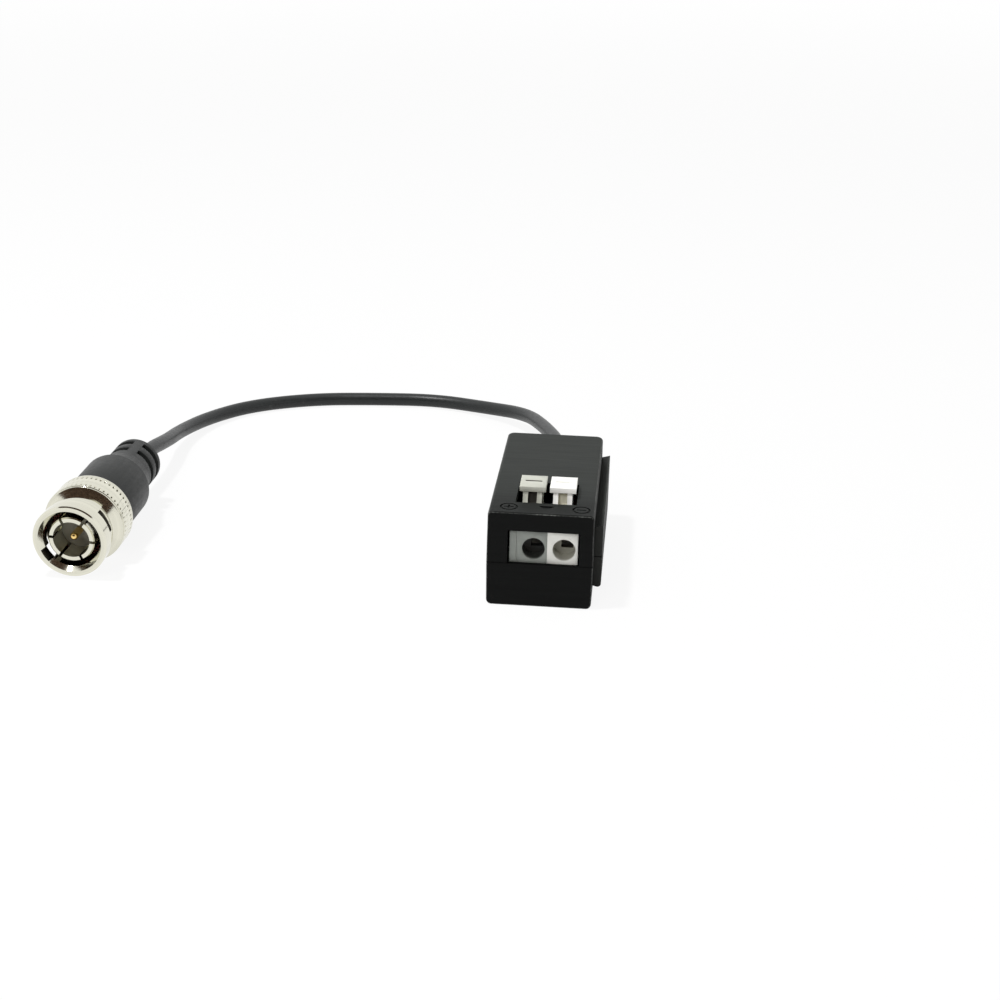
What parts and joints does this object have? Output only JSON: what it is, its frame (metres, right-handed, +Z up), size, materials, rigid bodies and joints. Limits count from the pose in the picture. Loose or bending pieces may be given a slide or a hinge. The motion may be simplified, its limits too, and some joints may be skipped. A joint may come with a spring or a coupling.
{
  "type": "cctv video balun",
  "caption": "Passive video balun for security cameras: small black housing with a two-pole lever terminal, joined by a short coaxial pigtail to a bayonet plug.",
  "frame": {"origin": "centre of the housing's flat bottom face, on the ground the part lies on", "axes": "X to the right seen from the terminal side, Y from the terminal face to the cable end, Z up"},
  "size_m": [0.0968, 0.1036, 0.0186],
  "materials": {
    "black_shell": "fine grained black ABS",
    "board": "green solder mask",
    "grey_terminal": "light grey polyamide",
    "white_terminal": "white polyamide",
    "grey_lever": "warm light grey polyamide",
    "white_lever": "white polyamide",
    "spring_steel": "bright spring steel",
    "tinned_brass": "tin plated",
    "blue_coating": "dipped epoxy",
    "ferrite": "sintered ferrite",
    "red_enamel": "enamelled copper wire",
    "chip_body": "glazed chip",
    "black_rubber": "moulded",
    "white_nylon": "natural polyamide",
    "polyethylene": "natural polyethylene",
    "tinned_wire": "tinned copper",
    "cable_jacket": "black PVC jacket",
    "nickel": "bright nickel plating",
    "insulator": "dark moulded insulator",
    "gold": "gold plating",
    "red_silicone": "silicone",
    "boot_pvc": "dark grey moulded PVC"
  },
  "bodies": {
    "housing": {"upper_shell": "black_shell", "lower_shell": "black_shell", "circuit_board": "board", "terminal_end_plate": "grey_terminal", "terminal_module_grey": "grey_terminal", "terminal_module_white": "white_terminal", "clamp_spring_grey": "spring_steel", "clamp_spring_white": "spring_steel", "contact_bar_grey": "tinned_brass", "contact_bar_white": "tinned_brass", "surge_protector": "blue_coating", "toroid_core": "ferrite", "winding_left": "red_enamel", "winding_right": "red_enamel", "chip_resistor_left": "chip_body", "chip_resistor_right": "chip_body", "cable_bush": "black_rubber", "cable_tie": "white_nylon", "coax_insulation": "polyethylene", "coax_conductor": "tinned_wire", "coax_braid": "tinned_wire", "video_cable": "cable_jacket", "plug_body": "nickel", "plug_insulator": "insulator", "centre_pin": "gold", "plug_gasket": "red_silicone", "nut_spring_washer": "spring_steel", "crimp_ferrule": "nickel", "plug_cable_core": "polyethylene", "plug_boot": "boot_pvc"},
    "grey_press_lever": {"lever_grey": "grey_lever"},
    "white_press_lever": {"lever_white": "white_lever"},
    "nut": {"coupling_nut": "nickel", "nut_retaining_ring": "spring_steel"}
  },
  "joints": [
    {"name": "grey_lever_hinge", "type": "hinge", "parent": "housing", "child": "grey_press_lever", "pos_m": [-0.00193, -0.0082, 0.011], "axis": [1, 0, 0], "range_deg": [0, 10], "stiffness_Nm_per_rad": 0.004, "deforming": ["clamp_spring_grey"]},
    {"name": "white_lever_hinge", "type": "hinge", "parent": "housing", "child": "white_press_lever", "pos_m": [0.00315, -0.0082, 0.011], "axis": [1, 0, 0], "range_deg": [0, 10], "stiffness_Nm_per_rad": 0.004, "deforming": ["clamp_spring_white"]},
    {"name": "coupling_nut_turn", "type": "hinge", "parent": "housing", "child": "nut", "pos_m": [-0.0797, -0.01996, 0.00697], "axis": [0.0262, 0.9993, 0.0262], "continuous": true}
  ]
}
